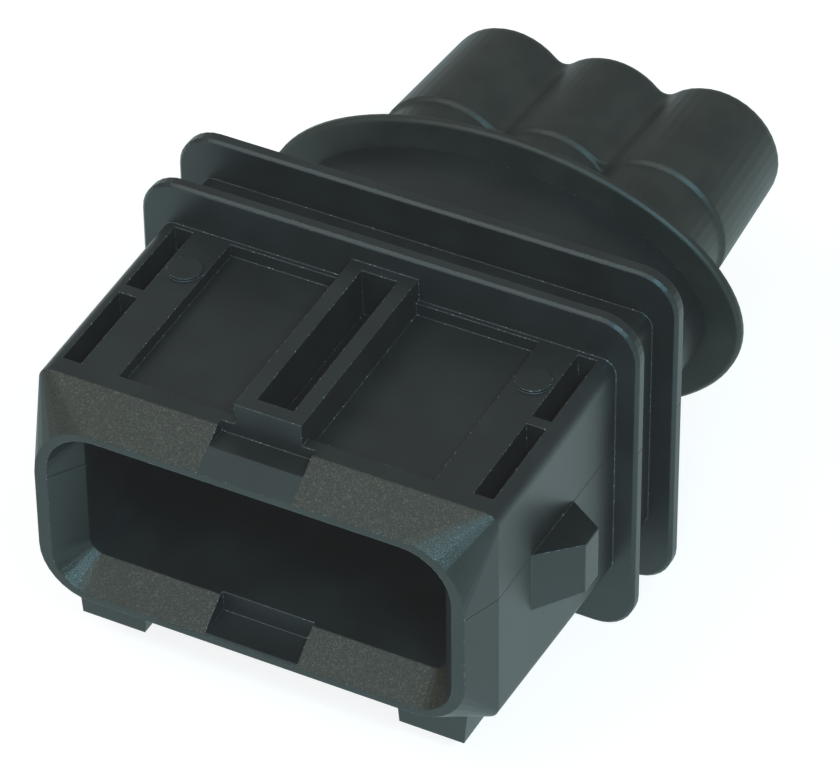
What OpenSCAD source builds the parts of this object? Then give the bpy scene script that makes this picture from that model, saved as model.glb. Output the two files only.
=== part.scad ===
// Three-way sealed automotive connector, male (tab) half.
// X runs across the mouth, Y runs from the mouth (y = 0) back to the wire end, Z is up.
// z = 0 is mid-height of the shroud, so the origin is the centre of the mouth plane.

/* [Shroud] */
// Width across the shroud behind the mouth
body_w = 31.4; // [30:0.1:34]
// Height of the shroud behind the mouth
body_h = 16.3; // [16:0.1:19]
// Growth of the width from the mouth to the flange, for mould draft
draft_w = 0.2; // [0:0.1:0.6]
// Growth of the height from the mouth to the flange, for mould draft
draft_h = 0.8; // [0:0.1:1.2]
// Radius of the shroud's long edges
edge_r = 1.0; // [0.4:0.1:2]
// Distance from the mouth plane to the front flange
shroud_l = 18.3; // [17.8:0.05:22]

/* [Mouth] */
// Depth of the sloped front
slope_l = 2.7; // [1.5:0.1:4]
// Inset of the rim from the shroud's sides
rim_side_inset = 0.95; // [0.4:0.05:1.5]
// Inset of the rim from the shroud's top
rim_top_inset = 1.8; // [0.8:0.1:2.2]
// Inset of the rim from the shroud's underside
rim_low_inset = 0.95; // [0.4:0.05:1.5]
// Outer corner radius of the rim, upper corners
rim_r_top = 4.3; // [3:0.1:5]
// Outer corner radius of the rim, lower corners
rim_r_low = 3.5; // [2.5:0.1:5]
// Width of the rim's flat land at its sides
rim_land_side = 0.85; // [0.4:0.05:1.2]
// Width of the rim's flat land above and below
rim_land = 0.5; // [0.3:0.05:0.7]
// Depth of the lead-in chamfer inside the mouth
lead_l = 2.2; // [1:0.1:3]
// Width of the mating cavity behind the lead-in
cavity_w = 24.8; // [22:0.1:25.5]
// Height of the mating cavity behind the lead-in
cavity_h = 10.2; // [9.4:0.1:10.8]
// Depth of the mating cavity from the mouth plane
cavity_l = 14.0; // [12:0.1:14.5]
// Width of the notch above the rim and of the pocket below it
key_w = 6.4; // [4:0.1:9]
// Drop of the notch floor below the shroud's top
notch_drop = 0.8; // [0.4:0.05:1.2]
// Depth of the lower pocket from the mouth plane
pocket_l = 2.5; // [1.5:0.1:3.5]
// Height of the lower pocket's floor above the rim's lower inner edge
pocket_step = 0.1; // [0.05:0.05:0.4]

/* [Top face] */
// Width of the latch frame
frame_w = 4.6; // [4:0.1:8]
// Height of the latch frame above the shroud's top
frame_h = 1.6; // [1:0.1:3]
// Width of the channel in the latch frame
channel_w = 2.5; // [1.5:0.1:3]
// Depth of the channel below the shroud's top
channel_drop = 1.9; // [1:0.1:2.2]
// Distance from the slope to the front of the latch frame
frame_setback = 0.45; // [0:0.05:2]
// Thickness of the latch frame's front bar
frame_bar = 1.0; // [0.8:0.1:2]
// Thickness of the latch frame's rear bar
rear_bar = 0.7; // [0.5:0.1:2]
// Half of the width over both recessed panels
panel_reach = 10.75; // [8:0.05:11.5]
// Depth of the recessed panels
panel_drop = 0.9; // [0.3:0.05:0.95]
// Plain strip between the slope and the panels
panel_border = 1.25; // [0.8:0.05:2]
// Plain strip between the panels and the front flange
panel_end = 0.35; // [0.3:0.05:1.5]
// Distance from the shroud's side to the coring slots
slot_inset = 1.0; // [0.8:0.05:1.2]
// Width of the coring slots
slot_w = 1.3; // [0.8:0.05:1.4]
// Depth of the coring slots
slot_drop = 5.0; // [2:0.1:7]
// Length of the front coring slot
slot_l = 6.95; // [5:0.05:8]
// Rib between the front and rear coring slots
slot_rib = 0.8; // [0.6:0.05:1.5]
// Radius of the ejector pads
eject_r = 1.15; // [0.8:0.05:1.3]
// Height of the ejector pads
eject_rise = 0.2; // [0.1:0.05:0.3]
// Distance from the panels' rear edge to the middle of the ejector pads
eject_setback = 3.4; // [2:0.1:5]

/* [Hooks and feet] */
// Height of the hooks' top face above mid-height
hook_top = 1.8; // [0:0.1:3]
// Height of the hooks at the shroud's side
hook_h = 4.4; // [3:0.1:6]
// How far the hooks stand out from the shroud's side
hook_reach = 2.5; // [1.5:0.1:3.5]
// Distance from the mouth plane to the front of the hooks
hook_y = 6.95; // [5:0.05:9]
// Length of the ramp at the front of a hook
hook_ramp = 2.4; // [1.5:0.1:4]
// Length of the flat at the outer end of a hook
hook_flat = 1.75; // [1:0.05:3]
// Length of the slope behind the flat of a hook
hook_back = 1.6; // [0.6:0.1:3]
// Rise of the hooks' underside from the shroud to the outer flat
hook_rise = 0.6; // [0:0.05:1.2]
// Distance from the middle of the shroud to the inner side of a foot
foot_x = 8.7; // [6:0.05:9.2]
// Width of a foot
foot_w = 5.0; // [3:0.05:5.2]
// Height of the feet below the shroud's underside at the mouth
foot_h = 2.7; // [1:0.1:3]
// Distance from the mouth plane to the front of the feet
foot_y = 2.5; // [2.2:0.1:5]

/* [Flanges] */
// Half of the width of the front flange
flange_reach = 17.3; // [17:0.05:19]
// Half of the height of the front flange
flange_rise = 12.3; // [11.7:0.05:13.5]
// Drop of the flanges' centre below mid-height
flange_sink = 0.75; // [0:0.05:1]
// Thickness of the front flange
flange_t = 1.0; // [0.9:0.05:2]
// Thickness of the rear flange
flange2_t = 1.05; // [0.9:0.05:2]
// How much wider the rear flange is, on each side
flange2_grow = 0.2; // [0:0.05:0.5]
// Corner radius of the flanges
flange_r = 2.7; // [1.5:0.1:4]
// Chamfer round the flanges' edges
flange_edge = 0.2; // [0.1:0.05:0.3]
// Width of the groove between the flanges
groove_w = 4.1; // [4.1:0.05:6]

/* [Collar and boot] */
// Half of the collar's width
collar_a = 14.7; // [14.2:0.05:15.5]
// Half of the collar's height
collar_b = 7.95; // [7.6:0.05:9]
// Length of the collar behind the rear flange
collar_l = 9.45; // [9.4:0.05:14]
// Wall of the collar round the boot's plug
collar_wall = 1.5; // [1:0.05:2]
// Height of the oval's centre below mid-height
oval_drop = 0.3; // [0:0.05:0.8]
// Half of the lip's width
lip_a = 17.15; // [16:0.05:18.5]
// Half of the lip's height
lip_b = 10.1; // [9.3:0.05:11]
// Thickness of the lip
lip_t = 0.75; // [0.6:0.05:1.5]
// How far the boot's plug reaches into the collar
plug_l = 3.3; // [2:0.1:3.6]
// Height of the sealing rib round the boot's plug
plug_rib = 0.25; // [0.1:0.05:0.4]
// Clearance round the boot's plug
plug_gap = 0.3; // [0.28:0.02:0.4]
// Outer radius of the wire tubes at their ends
tube_r = 4.6; // [4.4:0.05:4.8]
// Growth of the tubes' outer radius from their ends to the neck
tube_taper = 0.5; // [0:0.05:0.7]
// Inner radius of the wire tubes
tube_bore_r = 2.95; // [2.6:0.05:3.05]
// Length of the wire tubes behind the lip
tube_l = 16.8; // [12:0.1:24]
// Rounding of the tubes' ends
tube_end_r = 0.8; // [0.3:0.05:0.9]
// Radius of the fillets in the valleys between the tubes
valley_r = 1.0; // [0.5:0.1:1.5]
// Length of the neck between the lip and the tubes' full width
neck_l = 6.8; // [4:0.1:9]
// Step from the tubes down to the neck
neck_step = 0.25; // [0.1:0.05:0.4]
// Radius of the fillets in the neck's valleys
neck_valley_r = 0.3; // [0.2:0.05:0.5]
// Width of the flare where the neck meets the lip
neck_flare = 0.7; // [0.2:0.05:0.9]
// Length of the flare where the neck meets the lip
flare_l = 3.0; // [1:0.1:3.5]

/* [Contacts] */
// Distance between neighbouring contacts
pitch = 7.5; // [7.3:0.05:7.7]
// Height of the contact row above mid-height
row_z = 0.2; // [0:0.05:0.4]
// Width of the blades
blade_w = 4.8; // [3.5:0.1:5]
// Thickness of the blades
blade_t = 0.8; // [0.6:0.05:1]
// Distance from the mouth plane to the blades' tips
blade_y = 7.2; // [6.5:0.1:9]
// Length of the taper at a blade's tip
tip_l = 1.0; // [0.6:0.1:1.5]
// Wall in front of the terminals' box sections
stop_t = 1.2; // [0.8:0.1:1.5]
// Width of a terminal's box section
box_w = 5.2; // [5.1:0.05:5.4]
// Height of a terminal's box section
box_h = 3.0; // [2.9:0.05:3.1]
// Length of a terminal's box section
box_l = 5.0; // [4.5:0.1:5.3]
// Length of the solid nose where a box section folds into its blade
nose_l = 0.8; // [0.5:0.1:1]
// Sheet thickness of the terminals
sheet_t = 0.4; // [0.3:0.05:0.5]
// Width of a locking lance
lance_w = 1.8; // [1.2:0.1:2.2]
// Length of a locking lance
lance_l = 2.4; // [1.5:0.1:2.6]
// Height of a locking lance's free end above the box section
lance_rise = 0.7; // [0.4:0.05:0.8]
// Width of the strip between the box section and the crimps
strip_w = 2.2; // [1.6:0.1:2.4]
// Gap between the box section and each crimp
strip_gap = 0.3; // [0.2:0.05:0.4]
// Inner radius of the wire crimp
wire_crimp_r = 1.1; // [1:0.05:1.2]
// Length of the wire crimp
wire_crimp_l = 2.6; // [2:0.1:2.8]
// Inner radius of the seal crimp
seal_crimp_r = 1.45; // [1.4:0.05:1.6]
// Length of the seal crimp
seal_crimp_l = 1.6; // [1.2:0.1:1.8]
// Angle of the opening at the top of the crimps
crimp_open = 70; // [40:5:100]
// Clearance round a terminal in its cavity
contact_gap = 0.15; // [0.1:0.01:0.2]
// Radius of the seal bores in the housing
seal_bore_r = 3.25; // [3.15:0.05:3.3]
// Distance that a seal bore starts before the seal crimp
seal_bore_lead = 0.2; // [0:0.05:0.3]
// Length of a wire seal's ribbed body
seal_l = 4.6; // [4:0.1:4.8]
// Number of ribs round a wire seal
seal_ribs = 3; // [2:1:4]
// Height of the ribs round a wire seal
seal_rib_h = 0.35; // [0.2:0.05:0.5]
// Radius of a wire seal's hole
seal_hole_r = 0.9; // [0.7:0.05:1]
// Clearance of a wire seal in its bore and its crimp
seal_gap = 0.05; // [0.03:0.01:0.1]

/* [Retainer] */
// Thickness of the retainer's plate
retainer_t = 1.6; // [1.2:0.1:2]
// Clearance round the retainer in the cavity
retainer_gap = 0.15; // [0.1:0.01:0.2]
// Width of the retainer's fingers
finger_w = 2.6; // [2:0.1:3]
// Thickness of the retainer's fingers
finger_t = 0.7; // [0.5:0.05:0.8]
// Reach of the retainer's fingers over the box sections
finger_l = 1.4; // [0.8:0.1:1.6]

/* [Hidden] */
$fn = 64;

// Overlap that fuses joined shapes and lets cuts run clear
eps = 0.01;
// Run of a cut past an open face
clear = 1;
// Depth to which an added shape roots in what carries it
root = 0.4;
// Reach of a trimming block past the whole part
span = 2 * flange_reach;
// Steps along a rounded corner, an outer and a middle tube's arc, a fillet and round an oval
corner_steps = 8;
outer_steps = 30;
middle_steps = 12;
fillet_steps = 5;
oval_steps = 96;
// Angle between the sections of a flare or a rounded end
turn = 22.5;

// Where things start along Y
flange_y = shroud_l;
groove_y = flange_y + flange_t;
flange2_y = groove_y + groove_w;
collar_y = flange2_y + flange2_t;
lip_y = collar_y + collar_l;
tube_y = lip_y + lip_t;
tube_end_y = tube_y + tube_l;
frame_y = slope_l + frame_setback;

// Contact chain, from the wall that stops the box section back to the end of the seal
box_y = cavity_l + stop_t;
wire_crimp_y = box_y + box_l + strip_gap;
seal_crimp_y = wire_crimp_y + wire_crimp_l + strip_gap;
seal_y = seal_crimp_y + seal_crimp_l + seal_gap;
seal_bore_y = seal_crimp_y - seal_bore_lead;
plug_y = lip_y - plug_l;
pocket_y = plug_y - plug_gap;
box_top = row_z + box_h / 2;
lance_room = lance_rise + contact_gap;
lance_y = box_y + box_l - lance_l - contact_gap;

// Sizes across the shroud
side_x = body_w / 2;
top_z = body_h / 2;
core_w = body_w + draft_w;
core_h = body_h + draft_h;
face_l = shroud_l - slope_l;
face_tilt = atan(draft_h / 2 / face_l);
rim_side = side_x - rim_side_inset;
rim_top = top_z - rim_top_inset;
rim_low = -top_z + rim_low_inset;
slot_x = side_x - slot_inset - slot_w;
contacts = [-pitch, 0, pitch];

// Points of a quarter circle that starts at angle a
function corner(x, z, r, a) =
    [for (i = [0:corner_steps]) [x + r * cos(a + 90 * i / corner_steps),
                                 z + r * sin(a + 90 * i / corner_steps)]];

// Rounded rectangle from low to high, with its own radius for the upper and lower corners
function outline(half_w, low, high, r_high, r_low) = concat(
    corner(half_w - r_high, high - r_high, r_high, 0),
    corner(-half_w + r_high, high - r_high, r_high, 90),
    corner(-half_w + r_low, low + r_low, r_low, 180),
    corner(half_w - r_low, low + r_low, r_low, 270));

function centred(w, h, r) = outline(w / 2, -h / 2, h / 2, r, r);

function oval(a, b) =
    [for (i = [0:oval_steps - 1]) [a * cos(360 * i / oval_steps),
                                   -oval_drop + b * sin(360 * i / oval_steps)]];

// Skin through outlines that stand across Y; each section is [y, outline]
module loft(sections) {
    n = len(sections[0][1]);
    last = len(sections) - 1;
    points = [for (s = sections) for (p = s[1]) [p.x, s[0], p.y]];
    walls = [for (k = [0:last - 1]) for (i = [0:n - 1])
        let (a = k * n + i, b = k * n + (i + 1) % n)
        each [[a, b, b + n], [a, b + n, a + n]]];
    front = [for (i = [n - 1:-1:0]) i];
    back = [for (i = [0:n - 1]) last * n + i];
    polyhedron(points, concat([front], walls, [back]));
}

// Carries a shape drawn across X and Z, and raised along its own Z, to run back from y
module back_from(y) {
    translate([0, y, 0]) rotate([90, 0, 0]) mirror([0, 0, 1]) children();
}

// Flat shape across X and Z, raised back from y over length l
module slab(y, l) {
    back_from(y) linear_extrude(l) children();
}

module block(x0, x1, y0, y1, z0, z1) {
    translate([x0, y0, z0]) cube([x1 - x0, y1 - y0, z1 - z0]);
}

// Frame on the shroud's drafted top: y = 0 at the slope's upper edge, z = 0 on the face
module on_top() {
    translate([0, slope_l, top_z]) rotate([face_tilt, 0, 0]) children();
}

// Keeps what lies between two planes across Y
module between(y0, y1) {
    intersection() {
        children();
        block(-span, span, y0, y1, -span, span);
    }
}

// Plate whose outline is drawn by how far it is inset, with both edges chamfered
module edged_plate(y, t, full, inset) {
    between(y, y + t) loft([[y - flange_edge, inset], [y + flange_edge, full],
                            [y + t - flange_edge, full], [y + t + flange_edge, inset]]);
}

module both_sides() {
    children();
    mirror([1, 0, 0]) children();
}

// ---- Housing ----

module shroud() {
    rim_outer = outline(rim_side, rim_low, rim_top, rim_r_top, rim_r_low);
    between(0, flange2_y + eps) loft([
        [-clear, rim_outer],
        [0, rim_outer],
        [slope_l, centred(body_w, body_h, edge_r)],
        [flange_y, centred(core_w, core_h, edge_r)],
        [collar_y, centred(core_w, core_h, edge_r)]
    ]);
}

module mouth() {
    half_w = rim_side - rim_land_side;
    low = rim_low + rim_land;
    high = rim_top - rim_land;
    rim_inner = outline(half_w, low, high, rim_r_top - rim_land_side, rim_r_low - rim_land_side);
    loft([
        [-clear, rim_inner],
        [0, rim_inner],
        [lead_l, centred(cavity_w, cavity_h, edge_r)],
        [cavity_l, centred(cavity_w, cavity_h, edge_r)]
    ]);
}

// Notch above the rim and pocket in the lead-in below it
module key_cuts() {
    half = key_w / 2;
    block(-half, half, -clear, frame_y + eps, top_z - notch_drop, top_z + clear);
    pocket_floor = rim_low + rim_land + pocket_step;
    block(-half, half, -clear, pocket_l, pocket_floor, -cavity_h / 2 + eps);
}

module top_cuts() {
    end = face_l - panel_end;
    rear_slot = panel_border + slot_l + slot_rib;
    on_top() {
        block(-panel_reach, panel_reach, panel_border, end, -panel_drop, clear);
        both_sides() {
            block(slot_x, slot_x + slot_w, panel_border, panel_border + slot_l, -slot_drop, clear);
            block(slot_x, slot_x + slot_w, rear_slot, end, -slot_drop, clear);
        }
    }
}

module eject_pad() {
    on_top() translate([(panel_reach + slot_x) / 2, face_l - panel_end - eject_setback, -root])
        cylinder(r = eject_r, h = root + eject_rise);
}

module latch_frame() {
    half = frame_w / 2;
    on_top() difference() {
        block(-half, half, frame_setback, face_l + root, -panel_drop - root, frame_h);
        block(-channel_w / 2, channel_w / 2, frame_setback + frame_bar, face_l - rear_bar,
              -clear - panel_drop, frame_h + clear);
    }
}

module latch_channel() {
    on_top() block(-channel_w / 2, channel_w / 2, frame_setback + frame_bar, face_l - rear_bar,
                   -channel_drop, frame_h + clear);
}

// Hook: its plan across the shroud's side, trimmed by its front view
module hook() {
    reach = side_x + hook_reach;
    flat_y = hook_y + hook_ramp;
    end_y = flat_y + hook_flat;
    low = hook_top - hook_h;
    intersection() {
        translate([0, 0, low]) linear_extrude(hook_h) polygon([
            [side_x - root, hook_y], [side_x, hook_y], [reach, flat_y], [reach, end_y],
            [side_x, end_y + hook_back], [side_x - root, end_y + hook_back]]);
        slab(hook_y, hook_ramp + hook_flat + hook_back) polygon([
            [side_x - root, low], [side_x, low], [reach, low + hook_rise],
            [reach, hook_top], [side_x - root, hook_top]]);
    }
}

// Foot: a guide rail under the shroud, narrower at its tread
module foot() {
    tread = top_z + foot_h;
    slab(foot_y, flange_y - foot_y + eps) polygon([
        [foot_x, -top_z + root], [foot_x + foot_h / 10, -tread],
        [foot_x + foot_w - foot_h / 10, -tread], [foot_x + foot_w, -top_z + root]]);
}

module flange(y, t, reach) {
    inset = 2 * flange_edge;
    low = -flange_rise - flange_sink;
    high = flange_rise - flange_sink;
    edged_plate(y, t, outline(reach, low, high, flange_r, flange_r),
                outline(reach - inset, low + inset, high - inset,
                        flange_r - inset, flange_r - inset));
}

module collar() {
    slab(collar_y - eps, collar_l + eps) polygon(oval(collar_a, collar_b));
}

// Way through the housing for one contact: blade slot, box cavity, lance room and seal bore
module contact_cut() {
    half_box = box_w / 2 + contact_gap;
    half_blade = blade_w / 2 + contact_gap;
    half_blade_t = blade_t / 2 + contact_gap;
    half_finger = finger_w / 2 + contact_gap;
    lance_top = box_top + max(lance_room, finger_t + 2 * contact_gap);
    block(-half_blade, half_blade, cavity_l - eps, box_y + eps,
          row_z - half_blade_t, row_z + half_blade_t);
    block(-half_box, half_box, box_y, seal_bore_y + eps,
          row_z - box_h / 2 - contact_gap, box_top + contact_gap);
    block(-half_finger, half_finger, cavity_l - eps, box_y + box_l, box_top - eps, lance_top);
    back_from(seal_bore_y) translate([0, row_z, 0])
        cylinder(r = seal_bore_r, h = pocket_y - seal_bore_y + eps);
}

module plug_pocket() {
    slab(pocket_y, lip_y - pocket_y + clear)
        polygon(oval(collar_a - collar_wall, collar_b - collar_wall));
}

module housing() {
    color([0.14, 0.16, 0.16]) difference() {
        union() {
            difference() {
                shroud();
                key_cuts();
                top_cuts();
            }
            latch_frame();
            both_sides() hook();
            both_sides() foot();
            both_sides() eject_pad();
            flange(flange_y, flange_t, flange_reach);
            flange(flange2_y, flange2_t, flange_reach + flange2_grow);
            collar();
        }
        mouth();
        latch_channel();
        for (x = contacts) translate([x, 0, 0]) contact_cut();
        plug_pocket();
    }
}

// ---- Rear boot ----

module lip() {
    inset = 2 * flange_edge;
    edged_plate(lip_y, lip_t, oval(lip_a, lip_b), oval(lip_a - inset, lip_b - inset));
}

module plug() {
    a = collar_a - collar_wall - plug_gap;
    b = collar_b - collar_wall - plug_gap;
    slab(plug_y, plug_l + eps) polygon(oval(a, b));
    slab(plug_y + plug_l / 3, plug_l / 3) polygon(oval(a + plug_rib, b + plug_rib));
}

// Points along an arc, short of its last one
function arc(x, z, r, from, to, steps) =
    [for (i = [0:steps - 1]) let (a = from + (to - from) * i / steps)
        [x + r * cos(a), row_z + z + r * sin(a)]];

// Outline of the three fused tubes at radius r, with fillets of radius f in their valleys
function fused_tubes(r, f) =
    let (t = acos(pitch / 2 / (r + f)), h = (r + f) * sin(t), mid = pitch / 2) concat(
        arc(pitch, 0, r, t - 180, 180 - t, outer_steps),
        arc(mid, h, f, -t, t - 180, fillet_steps),
        arc(0, 0, r, t, 180 - t, middle_steps),
        arc(-mid, h, f, -t, t - 180, fillet_steps),
        arc(-pitch, 0, r, t, 360 - t, outer_steps),
        arc(-mid, -h, f, 180 - t, t, fillet_steps),
        arc(0, 0, r, 180 + t, 360 - t, middle_steps),
        arc(mid, -h, f, 180 - t, t, fillet_steps));

// Tubes with rounded ends that widen towards a stepped, flared neck
module tubes() {
    wide_r = tube_r + tube_taper;
    neck_r = wide_r - neck_step;
    neck_y = tube_y + neck_l;
    flare = [for (a = [0:turn:90])
        [tube_y + flare_l * (1 - cos(a)),
         fused_tubes(neck_r + neck_flare * (1 - sin(a)), neck_valley_r)]];
    rounding = [for (a = [0:turn:90])
        [tube_end_y - tube_end_r * (1 - sin(a)),
         fused_tubes(tube_r - tube_end_r * (1 - cos(a)), valley_r)]];
    between(lip_y + lip_t / 2, tube_end_y) loft(concat(
        [[lip_y, fused_tubes(neck_r + neck_flare, neck_valley_r)]],
        flare,
        [[neck_y - neck_step, fused_tubes(neck_r, neck_valley_r)],
         [neck_y, fused_tubes(wide_r, valley_r)]],
        rounding,
        [[tube_end_y + clear, fused_tubes(tube_r - tube_end_r, valley_r)]]));
}

module rear_boot() {
    color([0.17, 0.18, 0.17]) difference() {
        union() {
            lip();
            plug();
            tubes();
        }
        for (x = contacts) back_from(plug_y - clear) translate([x, row_z, 0])
            cylinder(r = tube_bore_r, h = tube_end_y - plug_y + 2 * clear);
    }
}

// ---- Terminals ----

// Open barrel round the wire axis, over length l from y
module barrel(y, l, r) {
    half_gap = crimp_open / 2;
    reach = 2 * (r + sheet_t);
    back_from(y) linear_extrude(l) difference() {
        circle(r + sheet_t);
        circle(r);
        polygon([[0, 0], [-reach * tan(half_gap), reach], [reach * tan(half_gap), reach]]);
    }
}

module lance() {
    translate([-lance_w / 2, 0, 0]) rotate([90, 0, 90]) linear_extrude(lance_w) polygon([
        [lance_y, box_h / 2 - sheet_t / 2],
        [lance_y + lance_l, box_h / 2 + lance_rise - sheet_t],
        [lance_y + lance_l, box_h / 2 + lance_rise],
        [lance_y, box_h / 2]]);
}

// Terminal about its own axis: blade, folded box, lance, wire crimp and seal crimp
module terminal() {
    half_w = box_w / 2;
    half_h = box_h / 2;
    half_blade = blade_w / 2;
    color([0.72, 0.72, 0.70]) translate([0, 0, row_z]) {
        translate([0, 0, -blade_t / 2]) linear_extrude(blade_t) polygon([
            [-half_blade, box_y + eps], [-half_blade, blade_y + tip_l],
            [-half_blade + tip_l / 2, blade_y], [half_blade - tip_l / 2, blade_y],
            [half_blade, blade_y + tip_l], [half_blade, box_y + eps]]);
        difference() {
            block(-half_w, half_w, box_y, box_y + box_l, -half_h, half_h);
            block(-half_w + sheet_t, half_w - sheet_t, box_y + nose_l, box_y + box_l + clear,
                  -half_h + sheet_t, half_h - sheet_t);
        }
        lance();
        block(-strip_w / 2, strip_w / 2, box_y + box_l - eps, seal_crimp_y + eps,
              -half_h, -half_h + sheet_t);
        barrel(wire_crimp_y, wire_crimp_l, wire_crimp_r);
        barrel(seal_crimp_y, seal_crimp_l, seal_crimp_r);
    }
}

module terminal_left() { translate([-pitch, 0, 0]) terminal(); }
module terminal_middle() { terminal(); }
module terminal_right() { translate([pitch, 0, 0]) terminal(); }

// ---- Wire seals ----

// Seal about its own axis: a neck inside the seal crimp and a ribbed body in the bore
module wire_seal() {
    body_r = seal_bore_r - seal_gap - seal_rib_h;
    rib_step = seal_l / seal_ribs;
    color([0.65, 0.25, 0.12]) back_from(seal_y) translate([0, row_z, 0]) difference() {
        union() {
            translate([0, 0, -seal_crimp_l])
                cylinder(r = seal_crimp_r - seal_gap, h = seal_crimp_l + eps);
            cylinder(r = body_r, h = seal_l);
            for (i = [0:seal_ribs - 1]) translate([0, 0, (i + 0.25) * rib_step])
                cylinder(r = body_r + seal_rib_h, h = rib_step / 2);
        }
        translate([0, 0, -seal_crimp_l - clear])
            cylinder(r = seal_hole_r, h = seal_crimp_l + seal_l + 2 * clear);
    }
}

module seal_left() { translate([-pitch, 0, 0]) wire_seal(); }
module seal_middle() { wire_seal(); }
module seal_right() { translate([pitch, 0, 0]) wire_seal(); }

// ---- Retainer ----

// Plate at the back of the mating cavity, with a slot and a finger for each terminal
module terminal_retainer() {
    plate_w = cavity_w - 2 * retainer_gap;
    plate_h = cavity_h - 2 * retainer_gap;
    half_blade = blade_w / 2 + contact_gap;
    half_blade_t = blade_t / 2 + contact_gap;
    finger_z = box_top + contact_gap;
    color([0.55, 0.56, 0.54]) difference() {
        union() {
            slab(cavity_l - retainer_t, retainer_t) polygon(centred(plate_w, plate_h, edge_r));
            for (x = contacts) translate([x, 0, 0])
                block(-finger_w / 2, finger_w / 2, cavity_l - eps, box_y + finger_l,
                      finger_z, finger_z + finger_t);
        }
        for (x = contacts) translate([x, 0, 0])
            block(-half_blade, half_blade, cavity_l - retainer_t - clear, cavity_l + clear,
                  row_z - half_blade_t, row_z + half_blade_t);
    }
}

housing();
rear_boot();
terminal_left();
terminal_middle();
terminal_right();
seal_left();
seal_middle();
seal_right();
terminal_retainer();
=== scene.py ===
from math import cos, radians, sin

import bpy
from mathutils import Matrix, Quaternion, Vector


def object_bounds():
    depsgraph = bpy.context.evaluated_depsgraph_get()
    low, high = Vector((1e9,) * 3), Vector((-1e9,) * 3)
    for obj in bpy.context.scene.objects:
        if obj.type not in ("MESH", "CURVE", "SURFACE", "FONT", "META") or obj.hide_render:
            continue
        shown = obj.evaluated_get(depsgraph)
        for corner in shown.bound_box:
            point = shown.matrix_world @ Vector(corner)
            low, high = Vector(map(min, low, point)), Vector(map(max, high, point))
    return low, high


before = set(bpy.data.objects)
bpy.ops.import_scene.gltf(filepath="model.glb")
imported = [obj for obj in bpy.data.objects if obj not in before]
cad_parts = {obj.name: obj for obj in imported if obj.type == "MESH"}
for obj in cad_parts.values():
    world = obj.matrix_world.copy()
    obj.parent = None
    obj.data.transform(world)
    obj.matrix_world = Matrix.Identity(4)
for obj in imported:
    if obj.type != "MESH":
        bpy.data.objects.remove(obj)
cad_box = [list(corner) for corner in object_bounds()]
bpy.ops.object.select_all(action="DESELECT")
scene = bpy.context.scene

# Camera. A long lens looks down from the front right, so the mouth, the latch frame, one side
# hook and the three tubes show together. The camera leans a touch to the left.
azimuth, elevation, roll = radians(27.72), radians(39.47), radians(-0.575)
target = Vector((-0.00129, 0.0252, -0.004546))
target_distance = 0.3528
direction = Vector((-sin(azimuth) * cos(elevation), cos(azimuth) * cos(elevation), -sin(elevation)))
lens = bpy.data.cameras.new("long_lens")
lens.lens, lens.sensor_width = 235.67, 36
lens.clip_start, lens.clip_end = 0.01, 10
camera = bpy.data.objects.new("camera", lens)
camera.location = target - direction * target_distance
camera.rotation_mode = "QUATERNION"
camera.rotation_quaternion = direction.to_track_quat("-Z", "Y") @ Quaternion((0, 0, 1), roll)
scene.collection.objects.link(camera)
scene.camera = camera

# Studio. A sheet of white card lies under the connector, runs to the horizon and lights its
# sides from below. A broad soft box hangs over the front. Two small cool lamps near the camera
# put a glint on two rounded corners of the mouth, one above and one below.


class Socket:
    """An output of a shader node. Arithmetic on it adds Math nodes, and add() any other node."""

    def __init__(self, tree, output=None):
        self.tree, self.output = tree, output

    def add(self, kind, settings=(), inputs=(), output=0):
        node = self.tree.nodes.new(kind)
        for name, value in dict(settings).items():
            setattr(node, name, value)
        for name, value in dict(inputs).items():
            if isinstance(value, Socket):
                self.tree.links.new(value.output, node.inputs[name])
            else:
                node.inputs[name].default_value = value
        return Socket(self.tree, node.outputs[output] if node.outputs else None)

    def maths(self, operation, first, second=0.0):
        return self.add("ShaderNodeMath", {"operation": operation}, {0: first, 1: second})

    def __add__(self, other):
        return self.maths("ADD", self, other)

    def __radd__(self, other):
        return self.maths("ADD", other, self)

    def __sub__(self, other):
        return self.maths("SUBTRACT", self, other)

    def __rsub__(self, other):
        return self.maths("SUBTRACT", other, self)

    def __mul__(self, other):
        return self.maths("MULTIPLY", self, other)

    def __gt__(self, other):
        return self.maths("GREATER_THAN", self, other)

    def __lt__(self, other):
        return self.maths("LESS_THAN", self, other)

    def magnitude(self):
        return self.maths("ABSOLUTE", self)

    def ramp(self, low, high):
        """Rises from 0 at low to 1 at high, or falls if low is the greater."""
        inputs = {"Value": self, "From Min": low, "From Max": high}
        return self.add("ShaderNodeMapRange", {"interpolation_type": "SMOOTHSTEP"}, inputs)

    def blend(self, first, second):
        """Mixes two colours by this mask."""
        inputs = {"Factor": self, 6: first, 7: second}
        return self.add("ShaderNodeMix", {"data_type": "RGBA"}, inputs, 2)


def start_material(name):
    """A material with an empty node tree, and the wrapper that adds nodes to it."""
    material = bpy.data.materials.new(name)
    material.use_nodes = True
    material.node_tree.nodes.clear()
    return material, Socket(material.node_tree)


card_gap, card_glow_share, card_glow = 0.00002, 0.7, 1.2
mirrored_sky, sky_level = 0.36, 0.30
lamp_distance, small_lamp, cool_white = 0.8, 0.12, (0.45, 0.82, 1)

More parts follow.
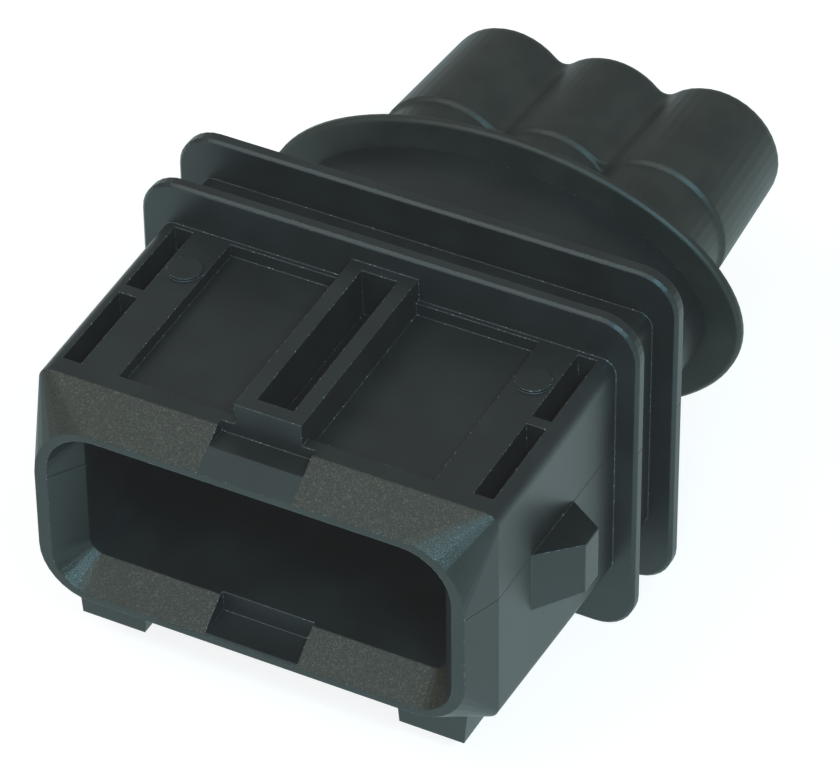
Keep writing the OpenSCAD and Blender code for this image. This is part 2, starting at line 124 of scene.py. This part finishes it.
bpy.ops.mesh.primitive_plane_add(size=4, location=(0, 0, cad_box[0][2] - card_gap))
card = bpy.context.object
card.name = "white_card"
card_material, white = start_material("white_card")
camera_ray = white.add("ShaderNodeLightPath", {}, {}, "Is Camera Ray")
glossy_ray = white.add("ShaderNodeLightPath", {}, {}, "Is Glossy Ray")
clear_ray = white.add("ShaderNodeLightPath", {}, {}, "Is Transmission Ray")
seen = white.maths("MAXIMUM", camera_ray, glossy_ray)
seen = white.maths("MAXIMUM", seen, clear_ray)
matt = white.add("ShaderNodeBsdfDiffuse", {}, {"Color": (0.92, 0.90, 0.89, 1)})
tint = camera_ray.blend((0.80, 1.0, 1.0, 1), (1, 1, 1, 1))
glow = white.add("ShaderNodeEmission", {}, {"Color": tint, "Strength": card_glow})
mixed = white.add("ShaderNodeMixShader", {}, {0: seen * card_glow_share, 1: matt, 2: glow})
white.add("ShaderNodeOutputMaterial", {}, {"Surface": mixed})
card.data.materials.append(card_material)
bpy.ops.object.select_all(action="DESELECT")

world = bpy.data.worlds.new("studio")
scene.world = world
world.use_nodes = True
world.node_tree.nodes.clear()
sky = Socket(world.node_tree)
camera_ray = sky.add("ShaderNodeLightPath", {}, {}, "Is Camera Ray")
glossy_ray = sky.add("ShaderNodeLightPath", {}, {}, "Is Glossy Ray")
clear_ray = sky.add("ShaderNodeLightPath", {}, {}, "Is Transmission Ray")
seen = sky.maths("MAXIMUM", camera_ray, glossy_ray * mirrored_sky)
seen = sky.maths("MAXIMUM", seen, clear_ray)
strength = sky.maths("MAXIMUM", seen, sky_level)
backdrop = sky.add("ShaderNodeBackground", {}, {"Color": (0.97, 1.0, 1.0, 1), "Strength": strength})
sky.add("ShaderNodeOutputWorld", {}, {"Surface": backdrop})


def soft_box(name, way, size, power, colour):
    """A square lamp that stands off along a direction and faces the connector."""
    lamp = bpy.data.lights.new(name, "AREA")
    lamp.energy, lamp.size, lamp.color = power, size, colour
    box = bpy.data.objects.new(name, lamp)
    way = Vector(way).normalized()
    box.location = target + way * lamp_distance
    box.rotation_mode = "QUATERNION"
    box.rotation_quaternion = (-way).to_track_quat("-Z", "Y")
    scene.collection.objects.link(box)


soft_box("overhead_box", (-0.33, -0.50, 0.80), 0.45, 2.1, (1, 1, 1))
soft_box("upper_glint", (0.27, -0.83, 0.47), small_lamp, 1.7, cool_white)
soft_box("lower_glint", (0.52, -0.49, 0.70), small_lamp, 3.4, cool_white)

# Housing. One moulding in black glass-filled nylon. The upper slope and the lower lead-in have
# a spark-eroded grain with painted glints, and the rest is satin with faint flow marks, a parting
# line on each side and pale edges, partly rubbed wear and partly painted highlight. A faint painted
# glow stands for scattered light.
slope_depth, key_half_width = 2.75, 3.2
parting_height, parting_width, parting_depth = 1.8, 0.11, 2.5
edge_radius, relief_depth = 0.00014, 0.00005
bare = (0.0075, 0.0092, 0.0090, 1)
dusty = (0.0125, 0.0150, 0.0142, 1)
grey_grain = (0.013, 0.0130, 0.0090, 1)
# The bright grain colour is partly grain tone and partly painted glints.
bright_grain_and_glint = (0.048, 0.046, 0.032, 1)
# Pale edge and chip colours: partly rubbed wear, partly painted highlight and glints.
rubbed_and_highlight = (0.070, 0.082, 0.080, 1)
chipped_and_glint = (0.42, 0.46, 0.45, 1)
# The two glow colours below are painted glow, fed into the emission to lift the blacks.
deep_painted_glow = (0.0102, 0.0102, 0.0104, 1)
warm_painted_glow = (0.0065, 0.0025, 0.0005, 1)

nylon, shade = start_material("black_nylon")
place = shade.add("ShaderNodeTexCoord", {}, {}, "Object")
millimetres = shade.add("ShaderNodeVectorMath", {"operation": "SCALE"}, {0: place, "Scale": 1000.0})
x, y, z = (shade.add("ShaderNodeSeparateXYZ", {}, {0: millimetres}, axis) for axis in range(3))
flat = shade.add("ShaderNodeNewGeometry", {}, {}, "Normal")
normal_x, normal_y, normal_z = (
    shade.add("ShaderNodeSeparateXYZ", {}, {0: flat}, axis) for axis in range(3))
rounded = shade.add("ShaderNodeBevel", {"samples": 8}, {"Radius": edge_radius})
sameness = shade.add("ShaderNodeVectorMath", {"operation": "DOT_PRODUCT"}, {0: flat, 1: rounded}, "Value")
edge = (1 - sameness).ramp(0.02, 0.25)

grain = shade.add("ShaderNodeTexNoise", {}, {"Vector": millimetres, "Scale": 9.0, "Detail": 3.0,
                                             "Roughness": 0.7})
fine = shade.add("ShaderNodeTexNoise", {}, {"Vector": millimetres, "Scale": 14.0, "Detail": 2.0})
cloud = shade.add("ShaderNodeTexNoise", {}, {"Vector": millimetres, "Scale": 0.22, "Detail": 4.0})
stretched = shade.add("ShaderNodeMapping", {}, {"Vector": millimetres, "Scale": (3.0, 0.35, 3.0)})
streaks = shade.add("ShaderNodeTexNoise", {}, {"Vector": stretched, "Scale": 1.6, "Detail": 4.0})
crystals = shade.add("ShaderNodeTexVoronoi", {}, {"Vector": millimetres, "Scale": 11.0}, "Color")
glint = shade.add("ShaderNodeSeparateColor", {}, {0: crystals}, 0).ramp(0.72, 0.98)
speck_and_glint = shade.add("ShaderNodeSeparateColor", {}, {0: crystals}, 1).ramp(0.88, 0.97)

near_front = (y < slope_depth) * (normal_y < -0.2)
sloped_up = near_front * normal_z.ramp(0.30, 0.62)
off_key = x.magnitude() > key_half_width
sparked = sloped_up * off_key
keyed = sloped_up - sparked
cornered = near_front * normal_x.ramp(0.08, 0.26) * normal_z.ramp(0.30, 0.46)
side_wall = normal_x.magnitude() > 0.8
parting = (z - parting_height).magnitude().ramp(parting_width, 0.03) * side_wall

satin = cloud.ramp(0.35, 0.7).blend(bare, dusty)
# The glint cells lighten the grain's colour as painted glints, on top of the grain's own tone.
spark_grain_and_glints = (grain.ramp(0.40, 0.72) * 0.6 + glint * 0.55).blend(grey_grain, bright_grain_and_glint)
surface = sparked.blend(satin, spark_grain_and_glints)
# Pale edges and white specks: partly rubbed and chipped wear, partly painted edge highlight and glints.
worn_and_highlight = edge * fine.ramp(0.42, 0.62)
colour = (worn_and_highlight * 0.8).blend(surface, rubbed_and_highlight)
colour = (edge * speck_and_glint * 0.8).blend(colour, chipped_and_glint)
roughness = 0.36 + cloud * 0.10 + sparked * (0.08 - glint * 0.14) + keyed * 0.20 - cornered * 0.12
# Painted glow: a faint emission, warmer on the grain, that stands for scattered light.
painted_glow = sparked.blend(deep_painted_glow, warm_painted_glow)

relief = grain * (sparked * 0.9 + 0.05) + fine * (sparked * 0.3 + 0.10) + streaks * 0.12
relief = relief - parting * parting_depth
bump = shade.add("ShaderNodeBump", {}, {"Strength": 0.55, "Distance": relief_depth, "Height": relief,
                                        "Normal": rounded})
finish = shade.add("ShaderNodeBsdfPrincipled", {}, {
    "Base Color": colour, "Roughness": roughness, "Normal": bump, "Emission Color": painted_glow,
    "Emission Strength": 1.0, "Specular Tint": (0.86, 1.0, 0.99, 1), "IOR": 1.5})
shade.add("ShaderNodeOutputMaterial", {}, {"Surface": finish})


def dress(material, *names):
    """Gives CAD nodes this material in place of their own."""
    for name in names:
        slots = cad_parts[name].data.materials
        slots.clear()
        slots.append(material)


dress(nylon, "housing")

# Rear boot. An elastomer moulding, softer and duller than the nylon, with a faint bloom,
# shallow moulding waves and the same faint painted glow. It is pressed into the collar, and its lip
# stands on the collar's end.
lip_radius, wave_depth = 0.0003, 0.00004
bloom = (0.017, 0.0185, 0.0150, 1)
deep = (0.0095, 0.0108, 0.0088, 1)
rubber, shade = start_material("black_elastomer")
place = shade.add("ShaderNodeTexCoord", {}, {}, "Object")
millimetres = shade.add("ShaderNodeVectorMath", {"operation": "SCALE"}, {0: place, "Scale": 1000.0})
rounded = shade.add("ShaderNodeBevel", {"samples": 8}, {"Radius": lip_radius})
waves = shade.add("ShaderNodeTexNoise", {}, {"Vector": millimetres, "Scale": 0.35, "Detail": 3.0})
pores = shade.add("ShaderNodeTexNoise", {}, {"Vector": millimetres, "Scale": 9.0, "Detail": 3.0})
colour = waves.ramp(0.35, 0.68).blend(deep, bloom)
bump = shade.add("ShaderNodeBump", {}, {"Strength": 0.4, "Distance": wave_depth,
                                        "Height": waves * 0.9 + pores * 0.25, "Normal": rounded})
# The emission colour is the same faint painted glow that lifts the blacks.
finish = shade.add("ShaderNodeBsdfPrincipled", {}, {
    "Base Color": colour, "Roughness": 0.42 + waves * 0.12, "Normal": bump,
    "Emission Color": (0.0105, 0.0130, 0.0125, 1), "Emission Strength": 1.0,
    "Specular Tint": (0.92, 1.0, 0.95, 1)})
shade.add("ShaderNodeOutputMaterial", {}, {"Surface": finish})
dress(rubber, "rear_boot")

# Terminals. Stamped and folded from tin-plated brass, dull silver, with fine rolling lines
# along the strip.
tin, shade = start_material("tinned_brass")
place = shade.add("ShaderNodeTexCoord", {}, {}, "Object")
drawn = shade.add("ShaderNodeMapping", {}, {"Vector": place, "Scale": (9000.0, 500.0, 9000.0)})
lines = shade.add("ShaderNodeTexNoise", {}, {"Vector": drawn, "Scale": 1.0, "Detail": 3.0})
colour = lines.ramp(0.3, 0.7).blend((0.60, 0.60, 0.58, 1), (0.74, 0.74, 0.71, 1))
finish = shade.add("ShaderNodeBsdfPrincipled", {}, {
    "Base Color": colour, "Metallic": 1.0, "Roughness": 0.26 + lines * 0.14})
shade.add("ShaderNodeOutputMaterial", {}, {"Surface": finish})
dress(tin, "terminal_left", "terminal_middle", "terminal_right")

# Wire seals. Soft ribbed rings of red silicone, one behind each terminal. Each is held in its
# terminal's crimp by the neck, and its ribs fill the bore round the wire.
silicone, shade = start_material("red_silicone")
place = shade.add("ShaderNodeTexCoord", {}, {}, "Object")
powder = shade.add("ShaderNodeTexNoise", {}, {"Vector": place, "Scale": 1800.0, "Detail": 4.0})
colour = powder.ramp(0.3, 0.7).blend((0.40, 0.085, 0.035, 1), (0.50, 0.13, 0.06, 1))
finish = shade.add("ShaderNodeBsdfPrincipled", {}, {
    "Base Color": colour, "Roughness": 0.48 + powder * 0.12})
shade.add("ShaderNodeOutputMaterial", {}, {"Surface": finish})
dress(silicone, "seal_left", "seal_middle", "seal_right")

# Terminal retainer. A plain black nylon plate at the back of the mouth, finer and duller than
# the housing, with the same faint painted glow.
plain_nylon, shade = start_material("plain_nylon")
place = shade.add("ShaderNodeTexCoord", {}, {}, "Object")
matt_grain = shade.add("ShaderNodeTexNoise", {}, {"Vector": place, "Scale": 7000.0, "Detail": 3.0})
colour = matt_grain.ramp(0.3, 0.7).blend((0.012, 0.014, 0.0138, 1), (0.017, 0.020, 0.0195, 1))
bump = shade.add("ShaderNodeBump", {}, {"Strength": 0.4, "Distance": 0.00002, "Height": matt_grain})
# The emission colour is the same faint painted glow that lifts the blacks.
finish = shade.add("ShaderNodeBsdfPrincipled", {}, {
    "Base Color": colour, "Roughness": 0.45 + matt_grain * 0.1, "Normal": bump,
    "Emission Color": deep_painted_glow, "Emission Strength": 1.0})
shade.add("ShaderNodeOutputMaterial", {}, {"Surface": finish})
dress(plain_nylon, "terminal_retainer")

scene.view_settings.view_transform = "Standard"
